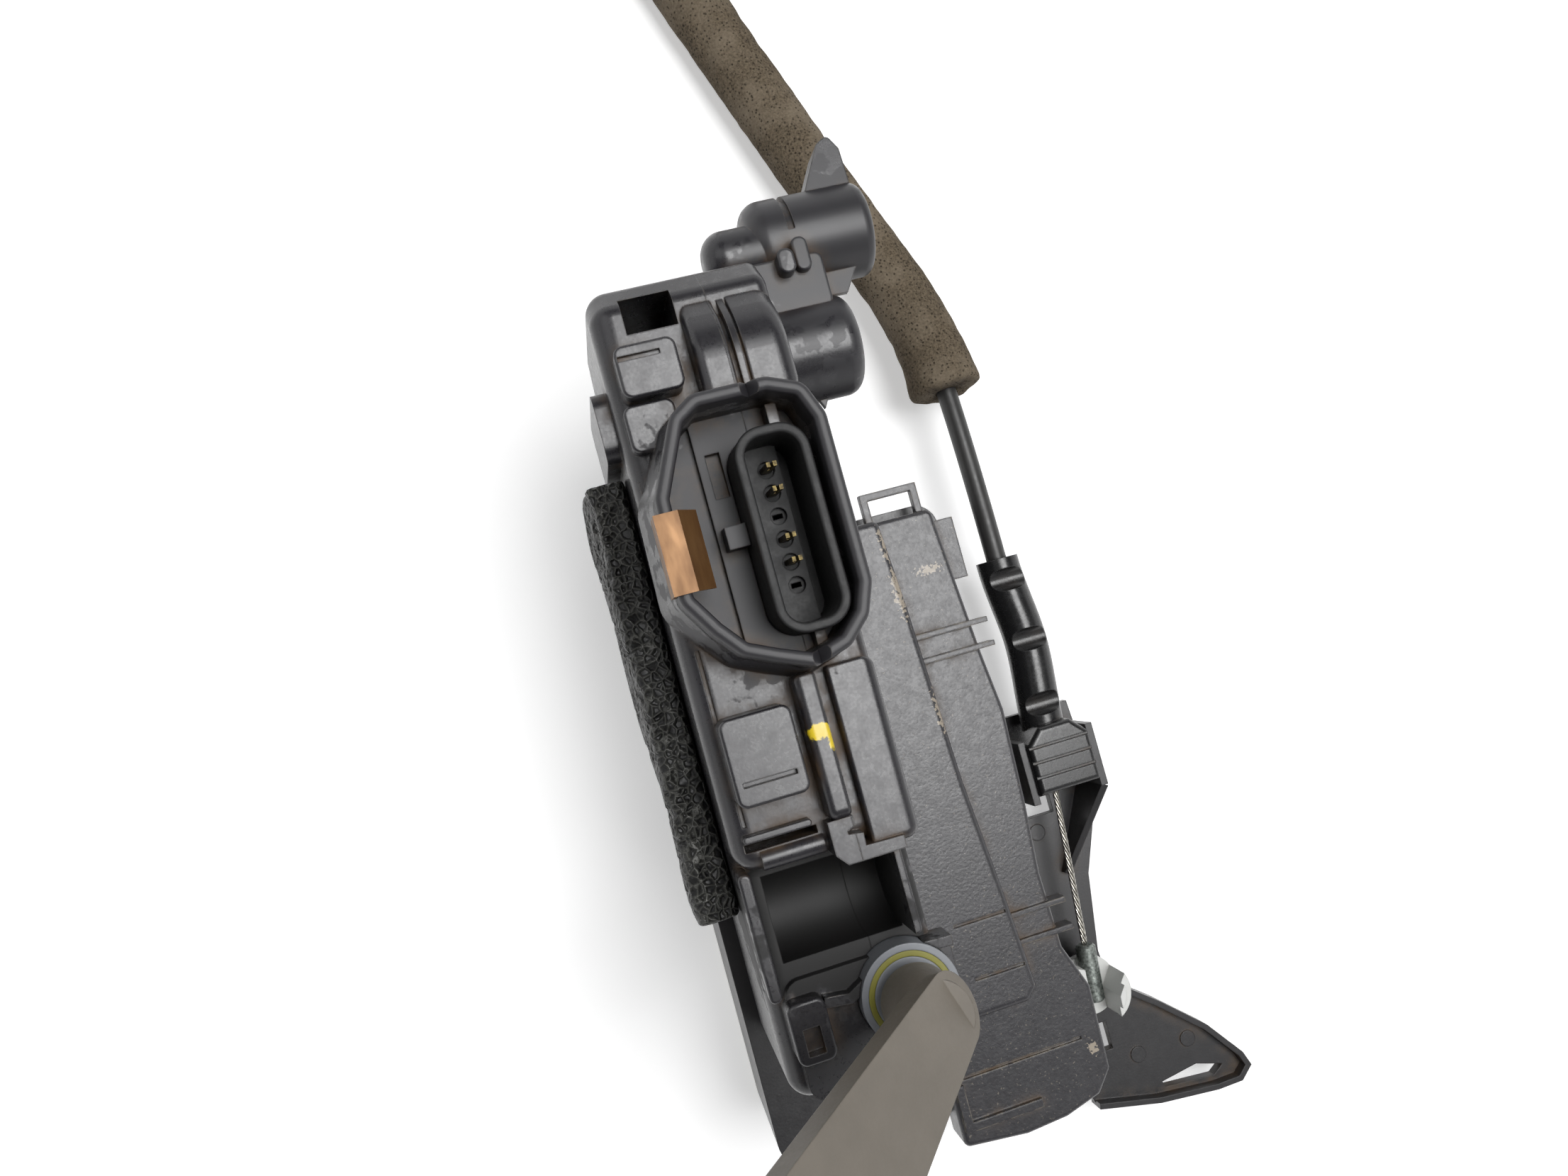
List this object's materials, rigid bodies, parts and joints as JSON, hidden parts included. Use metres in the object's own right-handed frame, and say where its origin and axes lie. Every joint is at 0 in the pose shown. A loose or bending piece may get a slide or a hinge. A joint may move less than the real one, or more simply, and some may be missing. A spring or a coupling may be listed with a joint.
{
  "type": "door latch actuator",
  "caption": "Vehicle door latch with an upright lock actuator case, plug shroud, rotary catch, release cable in a foam sleeve, and levers, standing on its steel shut-face plate.",
  "frame": {"origin": "on the shut face, under the middle of the plug, on the parting plane of the case", "axes": "+Z out of the shut face towards the plug, +Y along the case's seam to its end with the round bulges, +X from the foam pad's side to the cable's side"},
  "size_m": [0.1273, 0.4364, 0.1418],
  "materials": {
    "case_plastic": "moulded glass-filled nylon, satin charcoal",
    "grained_plastic": "moulded nylon with a fine spark grain",
    "housing_plastic": "moulded nylon, satin black",
    "fitting_plastic": "moulded acetal, smooth black",
    "conduit_plastic": "extruded polyethylene jacket",
    "sleeve_foam": "dusty closed-cell polyethylene foam tube",
    "black_foam": "open-cell polyurethane foam",
    "brass": "stamped or turned brass",
    "copper": "rolled bronze strip",
    "wire_steel": "stranded galvanised steel wire",
    "zinc": "die-cast zinc, dull",
    "white_nylon": "moulded natural nylon",
    "grey_plastic": "moulded grey acetal",
    "seal_rubber": "yellow-green moulded seal",
    "lever_grey": "moulded grey-brown plastic",
    "plated_steel": "zinc-plated pressed steel",
    "catch_steel": "hardened steel, dark phosphate",
    "pin_steel": "turned or drawn steel",
    "black_rubber": "moulded rubber",
    "motor_steel": "drawn steel can",
    "gear_acetal": "moulded natural acetal",
    "screw_steel": "black zinc-plated screw"
  },
  "bodies": {
    "latch": {"left_shell": "case_plastic", "right_shell": "case_plastic", "connector_socket": "case_plastic", "terminal_pins": "brass", "connector_clip": "copper", "foam_seal_pad": "black_foam", "latch_back_cover": "grained_plastic", "latch_housing": "housing_plastic", "cable_end_fitting": "fitting_plastic", "cable_conduit": "conduit_plastic", "foam_sleeve": "sleeve_foam", "shaft_bush": "grey_plastic", "shaft_seal": "seal_rubber", "striker_plate": "plated_steel", "fork_pin": "pin_steel", "fork_spring": "pin_steel", "pawl_pin": "pin_steel", "pawl_spring": "pin_steel", "striker_bumper": "black_rubber", "release_lever_pin": "pin_steel", "lock_motor": "motor_steel", "wheel_axle": "pin_steel", "lock_lever_pin": "pin_steel", "lock_switch": "case_plastic", "case_screws": "screw_steel", "handle_end_fitting": "fitting_plastic"},
    "catch": {"fork_bolt": "catch_steel"},
    "pawl_body": {"pawl": "catch_steel"},
    "release_arm": {"release_lever": "white_nylon"},
    "pull_wire": {"release_wire": "wire_steel", "wire_ferrule": "zinc"},
    "handle_pull": {"handle_wire": "wire_steel", "handle_barrel": "zinc"},
    "outside_arm": {"outside_lever": "lever_grey", "lever_shaft": "pin_steel"},
    "lock_gear": {"worm_wheel": "gear_acetal"},
    "worm_body": {"motor_worm": "brass"},
    "lock_arm": {"lock_lever": "grey_plastic"}
  },
  "joints": [
    {"name": "catch_turn", "type": "hinge", "parent": "latch", "child": "catch", "pos_m": [0.008, -0.03, 0.007], "axis": [0, 0, 1], "range_deg": [0, 56]},
    {"name": "pawl_turn", "type": "hinge", "parent": "latch", "child": "pawl_body", "pos_m": [0.035, -0.072, 0.007], "axis": [0, 0, 1], "range_deg": [0, 9]},
    {"name": "release_turn", "type": "hinge", "parent": "latch", "child": "release_arm", "pos_m": [0.03373, -0.10465, 0.019], "axis": [0, 0, 1], "range_deg": [0, 29.7]},
    {"name": "wire_slide", "type": "slide", "parent": "latch", "child": "pull_wire", "axis": [0.0873, 0.9962, 0], "range_m": [0, 0.0124]},
    {"name": "handle_slide", "type": "slide", "parent": "latch", "child": "handle_pull", "axis": [0.032, 0.9987, -0.0399], "range_m": [0, 0.0124]},
    {"name": "outside_turn", "type": "hinge", "parent": "latch", "child": "outside_arm", "pos_m": [0.0038, -0.0804, 0.09], "axis": [0, 0, 1], "range_deg": [0, 28]},
    {"name": "wheel_turn", "type": "hinge", "parent": "latch", "child": "lock_gear", "pos_m": [-0.005, -0.019, 0.055], "axis": [1, 0, 0], "range_deg": [-35, 35]},
    {"name": "worm_turn", "type": "hinge", "parent": "latch", "child": "worm_body", "pos_m": [-0.005, -0.019, 0.07], "axis": [0, 1, 0], "range_deg": [-850, 850]},
    {"name": "lock_turn", "type": "hinge", "parent": "latch", "child": "lock_arm", "pos_m": [0, -0.049, 0.055], "axis": [1, 0, 0], "range_deg": [-11.5, 11.5]}
  ],
  "couplings": [
    {"joint": "wire_slide", "follows": "release_turn", "m_per_rad": 0.023732},
    {"joint": "handle_slide", "follows": "release_turn", "m_per_rad": 0.023732},
    {"joint": "worm_turn", "follows": "wheel_turn", "ratio": 24},
    {"joint": "lock_turn", "follows": "wheel_turn", "ratio": -0.316}
  ]
}
